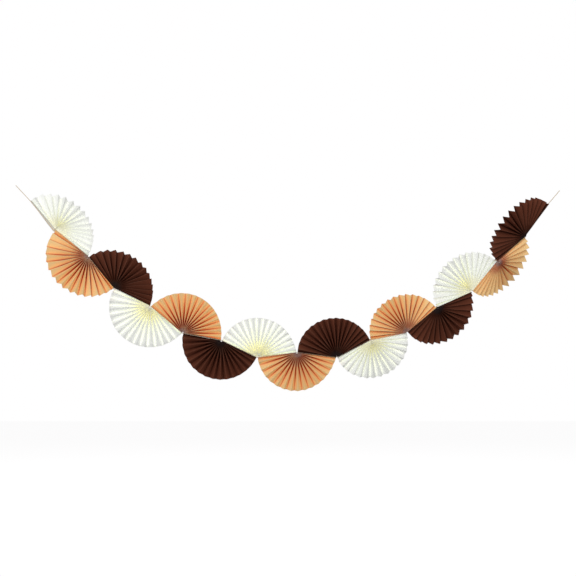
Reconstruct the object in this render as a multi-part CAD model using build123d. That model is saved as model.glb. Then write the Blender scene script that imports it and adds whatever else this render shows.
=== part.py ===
from build123d import *
import math
import os

# A garland of half-round pleated paper fans, glued edge to edge along one hanging cord.
# Sizes are in millimetres and angles in degrees.
# +X runs along the span from the left tie, +Y points away from the viewer and +Z is up.
# The origin is the left end of the cord.

# Fans
fan_radius = 100.0
pleats = 15              # front ridges of one fan
fold_depth = 18.0        # front to back at the rim
hub_radius = 6.0         # where the folds are gathered
paper_thickness = 0.12
tip_gap = 1.5            # the rim stops this far short of the next hub
unevenness = 0.07        # how far folds stray by hand, as a share of the step between ridges
colours = ["cream", "peach", "brown"]

# Cord
cord_diameter = 2.0
glue_gap = 0.1           # between the cord and the end panels that are glued along it
hub_bend = 6.5           # radius of the cord's bend at a hub
left_tail = 53.0
left_tail_angle = -47.0
right_tail = 43.0
right_tail_angle = 49.5

# Runs of the cord, from the first fan's outer tip to the last one's outer tip: their slopes, and
# their lengths as shares of the fan radius. A run is shared by the two fans that are glued to its
# two sides, and hand gluing leaves the hubs a little nearer or farther apart.
run_angles = [-51.2, -37.2, -51.8, -25.4, -40.0, -10.1, -25.9, 7.6,
              -7.1, 28.6, 10.6, 41.2, 24.4, 50.6, 41.1, 53.1]
run_shares = [0.98, 1.07, 1.035, 1.03, 1.06, 1.0, 1.0, 1.015,
              1.01, 0.96, 0.95, 0.975, 0.975, 0.985, 0.95, 1.02]

# Turn of the paper about the cord at the first fan's outer tip, at every hub and at the last
# fan's outer tip. A positive turn lowers the back edge of the end panels there.
turn_angles = [12, 30, 8, 20, 14, 6, 0, 0, -3, -6, -14, -6, -15, -20, -16, -16, -10]

# Lean of the middle of each fan. It is positive where the rim of a fan above the cord leans
# away from the viewer, or the rim of a fan below it leans towards the viewer.
lean_angles = [38, 29, 30, 6, 4, 0, 0, -3, -8, -12, -18, -24, -26, -47, -49]

# Hand gathering leaves each fan a little larger towards one end than the other, as shares of the
# fan radius, and spreads its folds a little wider towards its first end, or where the value is
# negative, towards its last end.
fan_shares = [(1.0, 1.0), (1.08, 1.04), (1.02, 0.995), (1.05, 1.035), (1.04, 0.98),
              (1.005, 0.995), (1.01, 1.0), (1.02, 0.945), (1.045, 0.965), (1.02, 0.985),
              (0.975, 0.97), (1.005, 0.95), (0.99, 1.0), (1.0, 0.92), (0.98, 1.02)]
fold_spreads = [0.2, 0.06, 0.17, 0.05, 0.1, 0.12, 0.12, 0.03, 0.15, -0.08, -0.03, -0.1, 0.05, -0.25, 0]

# Where the paper's faces change direction, from the hub to the rim, as shares of the rim radius.
crease_shares = [0.18, 0.5]

backward = Vector(0, 1, 0)


def along(degrees, length=1.0):
    """A step in the plane of the span."""
    angle = math.radians(degrees)
    return Vector(length * math.cos(angle), 0, length * math.sin(angle))


def mix(first, last, share):
    """From the first value to the last one."""
    return first * (1 - share) + last * share


def middle_share(share):
    """How far a place in the sweep follows the middle of the fan and not its end panels."""
    return 1 - abs(2 * share - 1) ** 4


def hub_points():
    """The first fan's outer tip, every hub, and the last fan's outer tip."""
    points = [along(left_tail_angle, left_tail)]
    for angle, share in zip(run_angles, run_shares):
        points.append(points[-1] + along(angle, fan_radius * share))
    return points


class FanLayout:
    """Where the folds of one fan run, and which way their depth points."""

    def __init__(self, number, hub):
        self.number = number
        self.hub = hub
        self.side = 1 if number % 2 else -1      # odd fans stand above the cord
        before = along(run_angles[number - 1]) * -1
        after = along(run_angles[number])
        self.rimward = (before + after).normalized()
        self.chordwise = (after - before).normalized()
        self.sweep = math.radians(before.get_angle(after))
        self.runs = [fan_radius * share for share in run_shares[number - 1:number + 1]]
        self.sizes = [fan_radius * share for share in fan_shares[number - 1]]
        self.fold_width = math.hypot(fold_depth, self.breadth(fan_radius))
        self.lean = lean_angles[number - 1]
        self.end_turns = (turn_angles[number - 1], turn_angles[number + 1])
        self.hub_turn = turn_angles[number]

    def breadth(self, radius):
        """Across the fan, from a front ridge to the next back fold."""
        return 2 * radius * math.sin(self.sweep / pleats / 4)

    def span(self, share):
        """From the hub to just past the rim. The end panels are as long as their runs."""
        return mix(mix(*self.runs, share), mix(*self.sizes, share), middle_share(share))

    def radius(self, share, reach):
        """Distance from the hub at a share of the way to the rim. The hub itself is hollow."""
        return max(hub_radius, (self.span(share) - tip_gap) * reach)

    def fold_share(self, fold):
        """Where a fold lies in the sweep."""
        share = (fold / 2 + math.sin(2.4 * fold + 1.7 * self.number) * unevenness) / pleats
        return share + fold_spreads[self.number - 1] * share * (1 - share)

    def upright(self, share):
        """In the plane of the span, square to the cord at both ends of the sweep."""
        swing = (math.pi - self.sweep) / 2 * (1 - 2 * share)
        return self.rimward * math.cos(swing) + self.chordwise * math.sin(swing)

    def direction(self, share):
        """The way that a fold runs from the hub, at a share of the sweep."""
        half = self.sweep / 2
        angle = half * (2 * share - 1)
        end_turn = self.end_turns[0 if share < 0.5 else 1]
        lean = math.radians(mix(end_turn, self.lean, middle_share(share)))
        leaning = self.rimward * math.cos(lean) + backward * (self.side * math.sin(lean))
        level = self.chordwise * math.sin(angle) + self.rimward * math.cos(half)
        return (level + leaning * (math.cos(angle) - math.cos(half))).normalized()

    def turn(self, share, radius):
        """Turn of the paper about the cord. The gathered paper at the hub turns as one."""
        reach = max(radius / self.span(share), crease_shares[0])
        end_turn = mix(self.hub_turn, self.end_turns[0 if share < 0.5 else 1], reach)
        middle_turn = mix(self.hub_turn, self.lean, math.sqrt(reach))
        return math.radians(mix(end_turn, middle_turn, middle_share(share)))

    def into_fan(self, end, radius):
        """The normal of an end panel, towards the inside of the fan."""
        turn = self.turn(end, radius)
        return self.upright(end) * math.cos(turn) + backward * (self.side * math.sin(turn))

    def place(self, share, radius):
        """A point midway between front and back, and the front-to-back direction there."""
        turn = self.turn(share, radius)
        upright = self.upright(share)
        direction = self.direction(share)
        depth = backward * math.cos(turn) - upright * (self.side * math.sin(turn))
        depth = (depth - direction * depth.dot(direction)).normalized()
        # Both end panels stand off the cord by the same amount, so that it lies between them.
        seat = cord_diameter / 2 + glue_gap
        first, last = (self.into_fan(end, radius) for end in (0, 1))
        return self.hub + direction * radius + mix(first, last, share) * seat, depth

    def levels(self, radius):
        """Front to back: the pleats' back, the paper's wall there, and an end panel's corner."""
        breadth = self.breadth(radius)
        depth = math.sqrt(self.fold_width ** 2 - breadth ** 2)
        wall = paper_thickness * self.fold_width / breadth
        slant = paper_thickness * (depth - wall) / breadth
        return depth / 2, wall, depth / 2 - wall - slant


def fan_section(layout, reach):
    """The two faces of the folded sheet at a share of the way to the rim, from end to end."""
    faces = []
    # Each end panel stands square to the cord, from its free front edge to its back fold.
    for end in (0, 1):
        radius = layout.radius(end, reach)
        centre, across = layout.place(end, radius)
        inset = layout.into_fan(end, radius) * paper_thickness
        back, wall, corner = layout.levels(radius)
        front = back - layout.fold_width
        middle = min(0, corner - wall)
        levels = [(front, front), (middle, middle), (back, corner)]
        faces.append([(centre + across * outer, centre + inset + across * inner)
                      for outer, inner in levels])
    first_end, last_end = faces
    folds = []
    for fold in range(1, 2 * pleats):
        share = layout.fold_share(fold)
        radius = layout.radius(share, reach)
        centre, across = layout.place(share, radius)
        back, wall, corner = layout.levels(radius)
        levels = (wall - back, -back) if fold % 2 else (back, back - wall)
        folds.append(tuple(centre + across * level for level in levels))
    outer, inner = zip(*first_end, *folds, *reversed(last_end))
    return outer, inner


def strip(first, second):
    """Flat triangles between two rows of points."""
    faces = []
    for a, b, c, d in zip(first, first[1:], second, second[1:]):
        faces.append(Face(Wire.make_polygon([a, b, d])))
        faces.append(Face(Wire.make_polygon([a, d, c])))
    return faces


def fan(number, hub):
    """One sheet of paper, folded into pleats and spread about its hub."""
    layout = FanLayout(number, hub)
    sections = [fan_section(layout, reach) for reach in (0, *crease_shares, 1)]
    faces = strip(*sections[0]) + strip(*sections[-1])
    for (outer, inner), (next_outer, next_inner) in zip(sections, sections[1:]):
        faces += strip(outer, next_outer)
        faces += strip(inner, next_inner)
        faces += strip([outer[0], inner[0]], [next_outer[0], next_inner[0]])
        faces += strip([outer[-1], inner[-1]], [next_outer[-1], next_inner[-1]])
    return Solid(Shell(faces))


def cord(hubs):
    """The cord, tight and straight between hubs, with a small bend at each."""
    left_end = Vector(0, 0, 0)
    right_end = hubs[-1] + along(right_tail_angle, right_tail)
    path = FilletPolyline(left_end, *hubs, right_end, radius=[hub_bend] * len(hubs))
    start = Plane(origin=path @ 0, z_dir=path % 0)
    tube = sweep(start * Circle(cord_diameter / 2), path=path)
    expected = math.pi * cord_diameter ** 2 / 4 * path.length
    print("cord length", round(path.length, 1), "bend radius", hub_bend,
          "volume over section times length", round(tube.volume / expected, 5))
    return tube


def main():
    os.makedirs("parts", exist_ok=True)
    hubs = hub_points()
    export_step(cord(hubs), "parts/hanging_cord.step")
    for number in range(1, len(run_angles)):
        colour = colours[(number - 1) % len(colours)]
        export_step(fan(number, hubs[number]), f"parts/fan_{number:02d}_{colour}.step")


main()
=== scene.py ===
"""A garland of half-round pleated paper fans, glued edge to edge along one hanging cord.

Everything is in metres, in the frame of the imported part: the left end of the cord is the origin,
+X runs along the span, +Y points away from the viewer and +Z is up.
"""
import math

import bmesh
import bpy
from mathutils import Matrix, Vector, noise


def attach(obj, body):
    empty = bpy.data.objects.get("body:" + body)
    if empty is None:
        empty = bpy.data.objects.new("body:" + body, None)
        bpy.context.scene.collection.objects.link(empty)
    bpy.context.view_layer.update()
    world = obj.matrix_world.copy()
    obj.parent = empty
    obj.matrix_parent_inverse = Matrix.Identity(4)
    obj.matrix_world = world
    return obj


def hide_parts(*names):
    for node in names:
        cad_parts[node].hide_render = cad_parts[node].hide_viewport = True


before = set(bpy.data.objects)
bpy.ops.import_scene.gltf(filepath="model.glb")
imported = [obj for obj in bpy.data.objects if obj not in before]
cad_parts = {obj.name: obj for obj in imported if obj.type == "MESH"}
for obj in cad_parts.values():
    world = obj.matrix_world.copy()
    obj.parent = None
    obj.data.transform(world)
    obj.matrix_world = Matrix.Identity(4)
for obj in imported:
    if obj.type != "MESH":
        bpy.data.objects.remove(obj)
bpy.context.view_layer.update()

# Fans
FAN_RADIUS = 0.1
PLEATS = 15
PANELS = 2 * PLEATS + 2         # with the two end panels, which are glued along the cord
FOLD_DEPTH = 0.018
TIP_GAP = 0.0015
PAPER_THICKNESS = 0.00012
HUB_RADIUS = 0.0025             # the gathered inner edge of the paper
HUB_TURN_SHARE = 0.18           # nearer the hub than this, the gathered paper turns as one
UNEVENNESS = 0.07               # how far folds stray, as a share of the step between ridges
UNEVEN_TURNS = (2.4, 1.7)       # how it goes from fold to fold and from fan to fan, in radians
PANEL_BOW = 0.0004              # how far a panel bows between its folds
BOW_MEAN = 0.5                  # shares of that bow: what all panels have, and what comes and goes
BOW_WANDER = 1.2
WANDER_STEPS = (0.7, 18, 3.1)   # noise steps for each panel, metre along it and fan
FOLD_ROUNDING = 0.00035         # half the width of a fold, which is pressed and not cut
WIDEST_FOLD = 0.42              # a fold takes up no more than this share of a panel
COLOURS = ["cream", "peach", "brown"]

# Cord
CORD_DIAMETER = 0.002
GLUE_GAP = 0.0001
LEFT_TAIL = 0.053
LEFT_TAIL_ANGLE = -47.0
RIGHT_TAIL = 0.043
RIGHT_TAIL_ANGLE = 49.5
STRANDS = 3
TWIST_LENGTH = 0.005
RINGS_PER_TWIST = 8
TWINE_SIDES = 12
STRAND_LOBES = (0.93, 0.07)     # mean reach of the strands and their rise and fall, in cord radii
HUB_STANDOFF = 0.012            # from a hub to the cord's next guide point
ROUTE_ORDER = 3
ROUTE_STEPS = 8                 # points between two guide points of the route

# Runs of the cord: their slopes in degrees, and their lengths as shares of the fan radius
RUN_ANGLES = [-51.2, -37.2, -51.8, -25.4, -40.0, -10.1, -25.9, 7.6,
              -7.1, 28.6, 10.6, 41.2, 24.4, 50.6, 41.1, 53.1]
RUN_SHARES = [0.98, 1.07, 1.035, 1.03, 1.06, 1.0, 1.0, 1.015,
              1.01, 0.96, 0.95, 0.975, 0.975, 0.985, 0.95, 1.02]

# Turn of the paper about the cord at both outer tips and every hub, and lean of the middle of each
# fan, in degrees
TURN_ANGLES = [12, 30, 8, 20, 14, 6, 0, 0, -3, -6, -14, -6, -15, -20, -16, -16, -10]
LEAN_ANGLES = [38, 29, 30, 6, 4, 0, 0, -3, -8, -12, -18, -24, -26, -47, -49]

# Size of each fan towards its two ends, as shares of the fan radius, and how much wider its folds
# spread towards the first end
FAN_SHARES = [(1.0, 1.0), (1.08, 1.04), (1.02, 0.995), (1.05, 1.035), (1.04, 0.98),
              (1.005, 0.995), (1.01, 1.0), (1.02, 0.945), (1.045, 0.965), (1.02, 0.985),
              (0.975, 0.97), (1.005, 0.95), (0.99, 1.0), (1.0, 0.92), (0.98, 1.02)]
FOLD_SPREADS = [0.2, 0.06, 0.17, 0.05, 0.1, 0.12, 0.12, 0.03,
                0.15, -0.08, -0.03, -0.1, 0.05, -0.25, 0]

BACKWARD = Vector((0, 1, 0))

# Places across one panel, from one fold to the next, and along the fan from hub to rim
PANEL_STEPS = [0.0, 0.03, 0.06, 0.36, 0.64, 0.94, 0.97]
FOLD_STEP = 0.06                # the rounding of a fold ends here
RING_SHARES = [0.0, 0.03, 0.07, 0.12, 0.18, 0.26, 0.36, 0.48, 0.6, 0.72, 0.84, 0.93, 1.0]

# Paper: colours, with painted valley shade and a painted hub colour (painted shade and highlights
# of the tight folds on the peach and brown, a painted yellow glow of bounced light on the cream),
# and how far the painted hub colour reaches from the hub
PAPER_LOOKS = {
    "cream": {"Sheet": (0.975, 0.985, 0.95), "Hub shading": (0.99, 0.985, 0.89),
              "Valley shade": (0.955, 0.955, 0.88), "Fold line": (0.95, 0.96, 0.93), "Hub reach": 0.5},
    "peach": {"Sheet": (0.96, 0.68, 0.335), "Hub shading": (0.5, 0.3, 0.25),
              "Valley shade": (0.56, 0.02, 0.001), "Fold line": (0.94, 0.69, 0.4), "Hub reach": 0.14},
    "brown": {"Sheet": (0.138, 0.042, 0.023), "Hub shading": (0.035, 0.022, 0.02),
              "Valley shade": (0.03, 0.004, 0.001), "Fold line": (0.16, 0.08, 0.055), "Hub reach": 0.2},
}

# Paper: where its marks begin and end. Distances from a fold are in panels, and those from the hub
# are shares of the way to the rim.
# Painted valley shade: a line along the back folds, and how it fades towards the rim
VALLEY_SHADE_LINE = (0.26, 0.03)      # both distances multiplied, which keeps the line's width even
VALLEY_SHADE_FADE = (1.45, 0.35)
# Painted shade all over close round the hub: where it begins and ends, and how strong it is
HUB_SHADE_ZONE = (0.42, 0.12)
HUB_SHADE_SHARE = 0.7
WORN_LINE = (0.09, 0.0)
WORN_PATCHES = (0.3, 0.7)
WORN_SHARE = 0.7
# Where the painted hub colour ends, and how far its edge wanders
HUB_EDGE = (1.0, 0.35)          # in hub reaches
HUB_EDGE_WANDER = 0.12
FLECKS = (0.3, 0.75)
FLECK_TONE = 0.04
CLOUD_TONE = 0.06
DARKEST_TONE = 0.975
CLOUD_NOISE = {"Scale": 45, "Detail": 3}
FIBRE_NOISE = {"Scale": 1400, "Detail": 4, "Roughness": 0.65}
FIBRE_ROUGHNESS = (0.72, 0.15)  # of the smoothest fibre, and how much more the roughest has
FIBRE_RELIEF = {"Strength": 0.1, "Distance": 0.00005}
PAPER_GLOSS = 0.04

# Cotton
COTTON_DARK = (0.66, 0.54, 0.39, 1)
COTTON_PALE = (0.82, 0.72, 0.57, 1)
FUZZ_RANGE = (0.35, 0.7)
FUZZ_NOISE = {"Scale": 2600, "Detail": 3}
FUZZ_RELIEF = {"Strength": 0.5, "Distance": 0.0002}
COTTON_ROUGHNESS = 0.9
COTTON_GLOSS = 0.2

# Camera
VIEW_DISTANCE = 4.0
VIEW_CENTRE = Vector((0.6874, 0, -0.2591))
VIEW_WIDTH = 1.4545
SENSOR = 36.0

# Studio: lamps by name, with power, size and place
WHITE = (1, 1, 1, 1)
FLOOR_COLOUR = (0.28, 0.28, 0.28, 1)
FLOOR_GLOW = 0.82               # lifts the floor almost to white where it is seen
FLOOR_HEIGHT = -1.1
FLOOR_HALF_SIZE = 6
SOFT_LIGHT = 0.52
WHITE_LIGHT = 1.0
LAMPS = {
    "key lamp": (86, 2.2, (0.3, -3.9, 0.05)),
    "back lamp": (32, 1.5, (0.7, 3.2, 1.6)),
}
LAMP_TARGET = (0.7, 0, -0.25)
LIGHT_BOUNCES = 48              # pale light goes on deep into the folds


def along(degrees, length=1.0):
    """A step in the plane of the span."""
    angle = math.radians(degrees)
    return Vector((length * math.cos(angle), 0, length * math.sin(angle)))


def mix(first, last, share):
    """From the first value to the last one."""
    return first * (1 - share) + last * share


def middle_share(share):
    """How far a place in the sweep follows the middle of the fan and not its end panels."""
    return 1 - abs(2 * share - 1) ** 4


def hub_points():
    """The first fan's outer tip, every hub, and the last fan's outer tip."""
    points = [along(LEFT_TAIL_ANGLE, LEFT_TAIL)]
    for angle, share in zip(RUN_ANGLES, RUN_SHARES):
        points.append(points[-1] + along(angle, FAN_RADIUS * share))
    return points


# Fans

class FanLayout:
    """Where the folds of one fan run, and which way their depth points."""

    def __init__(self, number, hub):
        self.number = number
        self.hub = hub
        self.side = 1 if number % 2 else -1
        before = -along(RUN_ANGLES[number - 1])
        after = along(RUN_ANGLES[number])
        self.rimward = (before + after).normalized()
        self.chordwise = (after - before).normalized()
        self.sweep = before.angle(after)
        self.runs = [FAN_RADIUS * share for share in RUN_SHARES[number - 1:number + 1]]
        self.sizes = [FAN_RADIUS * share for share in FAN_SHARES[number - 1]]
        self.fold_width = math.hypot(FOLD_DEPTH, self.breadth(FAN_RADIUS))
        self.lean = LEAN_ANGLES[number - 1]
        self.end_turns = (TURN_ANGLES[number - 1], TURN_ANGLES[number + 1])
        self.hub_turn = TURN_ANGLES[number]

    def breadth(self, radius):
        """Across the fan, from a front ridge to the next back fold."""
        return 2 * radius * math.sin(self.sweep / PLEATS / 4)

    def span(self, share):
        """From the hub to just past the rim."""
        return mix(mix(*self.runs, share), mix(*self.sizes, share), middle_share(share))

    def radius(self, share, reach):
        """Distance from the hub, at a share of the way from the gathered edge to the rim."""
        return mix(HUB_RADIUS, self.span(share) - TIP_GAP, reach)

    def upright(self, share):
        """In the plane of the span, square to the cord at both ends of the sweep."""
        swing = (math.pi - self.sweep) / 2 * (1 - 2 * share)
        return self.rimward * math.cos(swing) + self.chordwise * math.sin(swing)

    def direction(self, share):
        """The way that a fold runs from the hub, at a share of the sweep."""
        half = self.sweep / 2
        angle = half * (2 * share - 1)
        end_turn = self.end_turns[0 if share < 0.5 else 1]
        lean = math.radians(mix(end_turn, self.lean, middle_share(share)))
        leaning = self.rimward * math.cos(lean) + BACKWARD * (self.side * math.sin(lean))
        level = self.chordwise * math.sin(angle) + self.rimward * math.cos(half)
        return (level + leaning * (math.cos(angle) - math.cos(half))).normalized()

    def turn(self, share, radius):
        """Turn of the paper about the cord."""
        reach = max(radius / self.span(share), HUB_TURN_SHARE)
        end_turn = mix(self.hub_turn, self.end_turns[0 if share < 0.5 else 1], reach)
        middle_turn = mix(self.hub_turn, self.lean, math.sqrt(reach))
        return math.radians(mix(end_turn, middle_turn, middle_share(share)))

    def into_fan(self, end, radius):
        """The normal of an end panel, towards the inside of the fan."""
        turn = self.turn(end, radius)
        return self.upright(end) * math.cos(turn) + BACKWARD * (self.side * math.sin(turn))

    def place(self, share, radius):
        """A point midway between front and back, and the front-to-back direction there."""
        turn = self.turn(share, radius)
        upright = self.upright(share)
        direction = self.direction(share)
        depth = BACKWARD * math.cos(turn) - upright * (self.side * math.sin(turn))
        depth = (depth - direction * depth.dot(direction)).normalized()
        seat = CORD_DIAMETER / 2 + GLUE_GAP + PAPER_THICKNESS / 2
        first, last = (self.into_fan(end, radius) for end in (0, 1))
        return self.hub + direction * radius + mix(first, last, share) * seat, depth

    def fold_share(self, fold):
        """Where a fold lies in the sweep. Hand folding leaves each one a little off."""
        if fold in (0, 2 * PLEATS):
            return fold / (2 * PLEATS)
        turn = UNEVEN_TURNS[0] * fold + UNEVEN_TURNS[1] * self.number
        share = (fold / 2 + math.sin(turn) * UNEVENNESS) / PLEATS
        return share + FOLD_SPREADS[self.number - 1] * share * (1 - share)

    def across_panel(self, step, reach):
        """How far a step is across the fan and in depth, with both folds of the panel rounded."""
        if step > 0.5:
            sideways, level = self.across_panel(1 - step, reach)
            return 1 - sideways, 1 - level
        breadth = self.breadth(mix(HUB_RADIUS, FAN_RADIUS, reach))
        edge = (min(FOLD_ROUNDING / breadth, WIDEST_FOLD), FOLD_ROUNDING / FOLD_DEPTH)
        if step > FOLD_STEP:
            share = (step - FOLD_STEP) / (0.5 - FOLD_STEP)
            return mix(edge[0], 0.5, share), mix(edge[1], 0.5, share)
        angle = math.pi / 2 * step / FOLD_STEP
        return edge[0] * math.sin(angle), edge[1] * (1 - math.cos(angle))

    def paper_point(self, panel, step, reach):
        """A point of the sheet: a step across one panel, at a share of the way to the rim."""
        if panel == 0:
            share, level = 0, step
        elif panel > 2 * PLEATS:
            share, level = 1, 1 - step
        else:
            sideways, level = self.across_panel(step, reach)
            share = mix(self.fold_share(panel - 1), self.fold_share(panel), sideways)
            level = level if panel % 2 == 0 else 1 - level
        radius = self.radius(share, reach)
        breadth = self.breadth(radius)
        depth = math.sqrt(self.fold_width ** 2 - breadth ** 2)
        centre, across = self.place(share, radius)
        if share in (0, 1):
            return centre + across * (depth / 2 - self.fold_width * (1 - level))
        bow = math.sin(math.pi * step) * PANEL_BOW * reach
        spot = zip((panel, radius, self.number), WANDER_STEPS)
        wander = noise.noise(Vector([value * pace for value, pace in spot]))
        normal = self.direction(share).cross(across)
        return (centre + across * mix(-depth / 2, depth / 2, level)
                + normal * (bow * (BOW_WANDER * wander + BOW_MEAN)))


def sheet_place(corner, columns, rows):
    """The panel of a corner of the flat grid, its step across the panel and its way to the rim."""
    panel, step = divmod(round((corner.co.x + 0.5) * columns), len(PANEL_STEPS))
    return panel, PANEL_STEPS[step], RING_SHARES[round((corner.co.y + 0.5) * rows)]


def build_fan(number, hub, colour):
    """One sheet of paper: a flat grid, folded into pleats and spread about its hub."""
    layout = FanLayout(number, hub)
    columns = PANELS * len(PANEL_STEPS)
    rows = len(RING_SHARES) - 1
    sheet = bmesh.new()
    bmesh.ops.create_grid(sheet, x_segments=columns, y_segments=rows, size=0.5)
    flat_map = sheet.loops.layers.uv.new("UVMap")
    for face in sheet.faces:
        for loop in face.loops:
            panel, step, ring = sheet_place(loop.vert, columns, rows)
            loop[flat_map].uv = (panel + step, ring)
    for corner in sheet.verts:
        panel, step, ring = sheet_place(corner, columns, rows)
        if panel == PANELS:
            panel, step = PANELS - 1, 1.0
        corner.co = layout.paper_point(panel, step, ring)
    bmesh.ops.recalc_face_normals(sheet, faces=sheet.faces)
    name = f"paper_fan_{number:02d}_{colour}"
    mesh = bpy.data.meshes.new(name)
    sheet.to_mesh(mesh)
    sheet.free()
    mesh.materials.append(PAPERS[colour])
    fan = bpy.data.objects.new(name, mesh)
    bpy.context.scene.collection.objects.link(fan)
    wall = fan.modifiers.new("paper thickness", "SOLIDIFY")
    wall.thickness = PAPER_THICKNESS
    wall.offset = 0
    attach(fan, "root")
    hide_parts(f"fan_{number:02d}_{colour}")


# Cord

def cord_guides(hubs):
    """The cord's guide points: its ends, and each hub with a point close before and after it."""
    guides = [Vector((0, 0, 0))]
    directions = [along(LEFT_TAIL_ANGLE)]
    directions += [along(angle) for angle in RUN_ANGLES] + [along(RIGHT_TAIL_ANGLE)]
    for hub, before, after in zip(hubs, directions, directions[1:]):
        guides += [hub - before * HUB_STANDOFF, hub, hub + after * HUB_STANDOFF]
    guides.append(hubs[-1] + along(RIGHT_TAIL_ANGLE, RIGHT_TAIL))
    return guides


def route_points(guides):
    """Points along a smooth line through the guides."""
    line = bpy.data.curves.new("cord route", "CURVE")
    line.dimensions = "3D"
    spline = line.splines.new("NURBS")
    spline.points.add(len(guides) - 1)
    for point, guide in zip(spline.points, guides):
        point.co = (*guide, 1)
    spline.order_u = ROUTE_ORDER
    spline.use_endpoint_u = True
    spline.resolution_u = ROUTE_STEPS
    carrier = bpy.data.objects.new("cord route", line)
    mesh = bpy.data.meshes.new_from_object(carrier)
    points = [corner.co.copy() for corner in mesh.vertices]
    bpy.data.objects.remove(carrier)
    bpy.data.meshes.remove(mesh)
    bpy.data.curves.remove(line)
    return points


def even_steps(points, spacing):
    """The same line, cut into equal short steps."""
    lengths = [(b - a).length for a, b in zip(points, points[1:])]
    total = sum(lengths)
    count = round(total / spacing)
    steps = []
    index, passed = 0, 0.0
    for number in range(count + 1):
        target = total * number / count
        while index < len(lengths) - 1 and passed + lengths[index] < target:
            passed += lengths[index]
            index += 1
        share = (target - passed) / lengths[index]
        steps.append(points[index].lerp(points[index + 1], min(share, 1)))
    return steps


def place_ring(corners, path, step):
    """One ring of the twine's surface, with a lobe for each strand."""
    ahead = path[min(step + 1, len(path) - 1)] - path[max(step - 1, 0)]
    ahead.normalize()
    up = BACKWARD.cross(ahead)
    twist = math.tau / RINGS_PER_TWIST * step
    mean, rise = STRAND_LOBES
    for number, corner in enumerate(corners):
        angle = math.tau * number / TWINE_SIDES
        reach = CORD_DIAMETER / 2 * (mean + rise * math.cos(STRANDS * (angle - twist / STRANDS)))
        corner.co = (path[step] + up * (reach * math.cos(angle))
                     + BACKWARD * (reach * math.sin(angle)))


def build_cord(hubs):
    """Three-strand cotton twine."""
    path = even_steps(route_points(cord_guides(hubs)), TWIST_LENGTH / RINGS_PER_TWIST)
    twine = bmesh.new()
    ring = bmesh.ops.create_circle(twine, segments=TWINE_SIDES, radius=CORD_DIAMETER / 2,
                                   cap_ends=True)["verts"]
    place_ring(ring, path, 0)
    edges = list(twine.edges)
    for step in range(1, len(path)):
        grown = bmesh.ops.extrude_edge_only(twine, edges=edges)["geom"]
        ring = [part for part in grown if isinstance(part, bmesh.types.BMVert)]
        edges = [part for part in grown if isinstance(part, bmesh.types.BMEdge)
                 and part.verts[0] in ring and part.verts[1] in ring]
        place_ring(ring, path, step)
    bmesh.ops.contextual_create(twine, geom=edges)
    bmesh.ops.recalc_face_normals(twine, faces=twine.faces)
    mesh = bpy.data.meshes.new("twine")
    twine.to_mesh(mesh)
    twine.free()
    mesh.shade_smooth()
    mesh.materials.append(cotton())
    cord = bpy.data.objects.new("twine", mesh)
    bpy.context.scene.collection.objects.link(cord)
    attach(cord, "root")
    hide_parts("hanging_cord")


# Materials

def connect(tree, source, target):
    """A link from one socket to another."""
    tree.links.new(source, target)


def new_group(name, inputs, outputs):
    """A shader node group with named sockets."""
    group = bpy.data.node_groups.new(name, "ShaderNodeTree")
    for label, kind, value in inputs:
        socket = group.interface.new_socket(label, in_out="INPUT", socket_type=kind)
        socket.default_value = value
    for label, kind in outputs:
        group.interface.new_socket(label, in_out="OUTPUT", socket_type=kind)
    start = group.nodes.new("NodeGroupInput")
    end = group.nodes.new("NodeGroupOutput")
    return group, start, end


def math_node(tree, operation, first, second):
    """An operation on two values, each of them a number or another node's output."""
    node = tree.nodes.new("ShaderNodeMath")
    node.operation = operation
    for socket, value in zip(node.inputs, (first, second)):
        if isinstance(value, (int, float)):
            socket.default_value = value
        else:
            connect(tree, value, socket)
    return node.outputs[0]


def ramp(tree, value, low, high):
    """0 below low, 1 above high, and smooth between them."""
    node = tree.nodes.new("ShaderNodeMapRange")
    node.interpolation_type = "SMOOTHSTEP"
    connect(tree, value, node.inputs["Value"])
    node.inputs["From Min"].default_value = low
    node.inputs["From Max"].default_value = high
    return node.outputs["Result"]


def noise_of(tree, place, settings):
    """How strong a fine noise is at a place."""
    node = tree.nodes.new("ShaderNodeTexNoise")
    connect(tree, place, node.inputs["Vector"])
    for label, value in settings.items():
        node.inputs[label].default_value = value
    return node.outputs["Fac"]


def relief_of(tree, height, settings):
    """Surface normals from a height."""
    node = tree.nodes.new("ShaderNodeBump")
    for label, value in settings.items():
        node.inputs[label].default_value = value
    connect(tree, height, node.inputs["Height"])
    return node.outputs["Normal"]


def new_material(name):
    """A new material, its node tree and its shader."""
    material = bpy.data.materials.new(name)
    material.use_nodes = True
    return material, material.node_tree, material.node_tree.nodes["Principled BSDF"]


def blend_colours(tree, share, first, second):
    """The first colour where the share is 0, and the second where it is 1."""
    node = tree.nodes.new("ShaderNodeMix")
    node.data_type = "RGBA"
    connect(tree, share, node.inputs[0])
    for socket, value in ((node.inputs[6], first), (node.inputs[7], second)):
        if isinstance(value, tuple):
            socket.default_value = value
        else:
            connect(tree, value, socket)
    return node.outputs[2]


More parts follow.
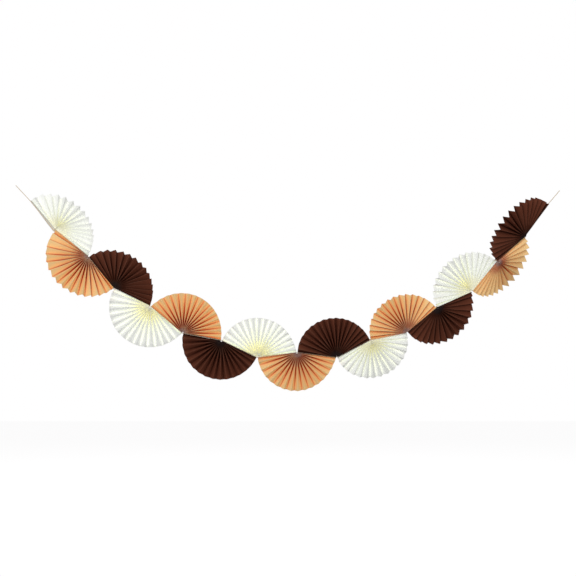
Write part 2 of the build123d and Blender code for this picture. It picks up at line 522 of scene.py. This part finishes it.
def pleated_paper_group():
    """Colour and relief of folded craft paper, with painted shade in its valleys and a painted hub
    colour. Its sheet map counts panels, and goes to the rim.
    """
    group, start, end = new_group(
        "Pleated paper",
        [("Sheet", "NodeSocketColor", WHITE),
         ("Hub shading", "NodeSocketColor", WHITE),
         ("Valley shade", "NodeSocketColor", WHITE),
         ("Fold line", "NodeSocketColor", WHITE),
         ("Hub reach", "NodeSocketFloat", 0.2)],
        [("Color", "NodeSocketColor"),
         ("Height", "NodeSocketFloat"),
         ("Roughness", "NodeSocketFloat")],
    )

    def calculate(operation, first, second):
        return math_node(group, operation, first, second)

    sheet_map = group.nodes.new("ShaderNodeUVMap")
    sheet_map.uv_map = "UVMap"
    split = group.nodes.new("ShaderNodeSeparateXYZ")
    connect(group, sheet_map.outputs["UV"], split.inputs[0])
    panel, radial = split.outputs["X"], split.outputs["Y"]

    # Distance from the nearest back fold and from the nearest front fold, in panels
    half = calculate("MULTIPLY", panel, 0.5)
    back_wave = calculate("PINGPONG", calculate("SUBTRACT", half, 0.5), 0.5)
    to_back = calculate("MULTIPLY", back_wave, 2)
    to_front = calculate("SUBTRACT", 1, to_back)

    place = group.nodes.new("ShaderNodeTexCoord").outputs["Object"]
    cloudy = noise_of(group, place, CLOUD_NOISE)
    fibre = noise_of(group, place, FIBRE_NOISE)
    cloud_swing = calculate("SUBTRACT", cloudy, 0.5)

    # Painted shade darkens the sheet into its back folds, in a line about as wide at the rim as
    # near the hub, and all over close round the hub
    deep = ramp(group, calculate("MULTIPLY", to_back, radial), *VALLEY_SHADE_LINE)
    painted_shade = calculate("MULTIPLY", deep, ramp(group, radial, *VALLEY_SHADE_FADE))
    gathered = calculate("MULTIPLY", ramp(group, radial, *HUB_SHADE_ZONE), HUB_SHADE_SHARE)
    painted_shade = calculate("MAXIMUM", painted_shade, gathered)
    colour = blend_colours(group, painted_shade, start.outputs["Sheet"], start.outputs["Valley shade"])

    # Handling wears the front folds to a colour of their own
    patches = ramp(group, cloudy, *WORN_PATCHES)
    worn = calculate("MULTIPLY", ramp(group, to_front, *WORN_LINE), patches)
    worn = calculate("MULTIPLY", worn, WORN_SHARE)
    colour = blend_colours(group, worn, colour, start.outputs["Fold line"])

    # Painted hub colour: painted shade and highlights of the tightly gathered folds on the peach
    # and brown, a painted yellow glow of bounced light on the cream
    edge = calculate("ADD", radial, calculate("MULTIPLY", cloud_swing, HUB_EDGE_WANDER))
    painted_hub_share = ramp(group, calculate("DIVIDE", edge, start.outputs["Hub reach"]), *HUB_EDGE)
    colour = blend_colours(group, painted_hub_share, colour, start.outputs["Hub shading"])

    # Fibres and a slight cloudiness of the sheet
    flecks = calculate("MULTIPLY", ramp(group, fibre, *FLECKS), FLECK_TONE)
    tone = calculate("ADD", flecks, DARKEST_TONE)
    tone = calculate("ADD", tone, calculate("MULTIPLY", cloud_swing, CLOUD_TONE))
    shade = group.nodes.new("ShaderNodeVectorMath")
    shade.operation = "SCALE"
    connect(group, colour, shade.inputs[0])
    connect(group, tone, shade.inputs["Scale"])
    smoothest, spread = FIBRE_ROUGHNESS
    rough = calculate("ADD", calculate("MULTIPLY", fibre, spread), smoothest)
    connect(group, shade.outputs[0], end.inputs["Color"])
    connect(group, fibre, end.inputs["Height"])
    connect(group, rough, end.inputs["Roughness"])
    return group


def paper(colour):
    """Craft paper in one of the garland's colours."""
    material, tree, shader = new_material(f"{colour} craft paper")
    folded = tree.nodes.new("ShaderNodeGroup")
    folded.node_tree = PLEATED_PAPER
    for label, value in PAPER_LOOKS[colour].items():
        folded.inputs[label].default_value = (*value, 1) if isinstance(value, tuple) else value
    relief = relief_of(tree, folded.outputs["Height"], FIBRE_RELIEF)
    connect(tree, folded.outputs["Color"], shader.inputs["Base Color"])
    connect(tree, folded.outputs["Roughness"], shader.inputs["Roughness"])
    connect(tree, relief, shader.inputs["Normal"])
    shader.inputs["Specular IOR Level"].default_value = PAPER_GLOSS
    return material


def cotton():
    """Undyed twisted cotton."""
    material, tree, shader = new_material("undyed cotton twine")
    place = tree.nodes.new("ShaderNodeTexCoord").outputs["Object"]
    fuzz = noise_of(tree, place, FUZZ_NOISE)
    colour = blend_colours(tree, ramp(tree, fuzz, *FUZZ_RANGE), COTTON_DARK, COTTON_PALE)
    connect(tree, colour, shader.inputs["Base Color"])
    connect(tree, relief_of(tree, fuzz, FUZZ_RELIEF), shader.inputs["Normal"])
    shader.inputs["Roughness"].default_value = COTTON_ROUGHNESS
    shader.inputs["Specular IOR Level"].default_value = COTTON_GLOSS
    return material


PLEATED_PAPER = pleated_paper_group()
PAPERS = {colour: paper(colour) for colour in COLOURS}


# Scene

def build_garland():
    """All fifteen fans and the cord."""
    hubs = hub_points()
    for number in range(1, len(RUN_ANGLES)):
        build_fan(number, hubs[number], COLOURS[(number - 1) % len(COLOURS)])
    build_cord(hubs)


def add_lamp(name, energy, size, place):
    """A round lamp that is turned to the garland."""
    light = bpy.data.lights.new(name, "AREA")
    light.energy = energy
    light.shape = "DISK"
    light.size = size
    lamp = bpy.data.objects.new(name, light)
    lamp.location = place
    aim = Vector(LAMP_TARGET) - Vector(place)
    lamp.rotation_euler = aim.to_track_quat("-Z", "Y").to_euler()
    bpy.context.scene.collection.objects.link(lamp)


def seen_by_camera(tree):
    """1 where the surface or the sky is seen straight, in gloss or through glass."""
    path = tree.nodes.new("ShaderNodeLightPath")
    seen = math_node(tree, "MAXIMUM", path.outputs["Is Camera Ray"], path.outputs["Is Glossy Ray"])
    return math_node(tree, "MAXIMUM", seen, path.outputs["Is Transmission Ray"])


def pale_floor():
    """Almost white to the camera, but for the garland's faint shadow."""
    material = bpy.data.materials.new("studio floor")
    material.use_nodes = True
    tree = material.node_tree
    tree.nodes.clear()
    matte = tree.nodes.new("ShaderNodeBsdfDiffuse")
    matte.inputs["Color"].default_value = FLOOR_COLOUR
    glow = tree.nodes.new("ShaderNodeEmission")
    glow.inputs["Color"].default_value = WHITE
    strength = math_node(tree, "MULTIPLY", seen_by_camera(tree), FLOOR_GLOW)
    connect(tree, strength, glow.inputs["Strength"])
    both = tree.nodes.new("ShaderNodeAddShader")
    connect(tree, matte.outputs[0], both.inputs[0])
    connect(tree, glow.outputs[0], both.inputs[1])
    out = tree.nodes.new("ShaderNodeOutputMaterial")
    connect(tree, both.outputs[0], out.inputs["Surface"])
    material.cycles.emission_sampling = "NONE"
    return material


def build_studio():
    """A pale floor below the garland, white all round to the camera, and soft light."""
    floor_mesh = bpy.data.meshes.new("studio floor")
    ground = bmesh.new()
    bmesh.ops.create_grid(ground, x_segments=1, y_segments=1, size=FLOOR_HALF_SIZE)
    ground.to_mesh(floor_mesh)
    ground.free()
    floor = bpy.data.objects.new("studio_floor", floor_mesh)
    floor.location = (VIEW_CENTRE.x, 0, FLOOR_HEIGHT)
    bpy.context.scene.collection.objects.link(floor)
    floor_mesh.materials.append(pale_floor())

    world = bpy.data.worlds.new("studio")
    bpy.context.scene.world = world
    world.use_nodes = True
    world.cycles.sampling_method = "NONE"
    tree = world.node_tree
    tree.nodes.clear()
    soft = tree.nodes.new("ShaderNodeBackground")
    white = tree.nodes.new("ShaderNodeBackground")
    for light, strength in ((soft, SOFT_LIGHT), (white, WHITE_LIGHT)):
        light.inputs["Strength"].default_value = strength
        light.inputs["Color"].default_value = WHITE
    pick = tree.nodes.new("ShaderNodeMixShader")
    connect(tree, seen_by_camera(tree), pick.inputs[0])
    connect(tree, soft.outputs[0], pick.inputs[1])
    connect(tree, white.outputs[0], pick.inputs[2])
    out = tree.nodes.new("ShaderNodeOutputWorld")
    connect(tree, pick.outputs[0], out.inputs["Surface"])

    for name, (energy, size, place) in LAMPS.items():
        add_lamp(name, energy, size, place)


def build_camera():
    """Straight on to the middle of the garland."""
    lens = bpy.data.cameras.new("camera")
    lens.sensor_width = SENSOR
    lens.lens = SENSOR * VIEW_DISTANCE / VIEW_WIDTH
    camera = bpy.data.objects.new("camera", lens)
    camera.location = VIEW_CENTRE - BACKWARD * VIEW_DISTANCE
    camera.rotation_euler = (math.pi / 2, 0, 0)
    bpy.context.scene.collection.objects.link(camera)
    bpy.context.scene.camera = camera


build_camera()
build_garland()
build_studio()
bpy.context.scene.view_settings.view_transform = "Standard"
bpy.context.scene.cycles.max_bounces = LIGHT_BOUNCES
bpy.context.scene.cycles.diffuse_bounces = LIGHT_BOUNCES
bpy.context.scene.cycles.denoising_input_passes = "RGB_ALBEDO"
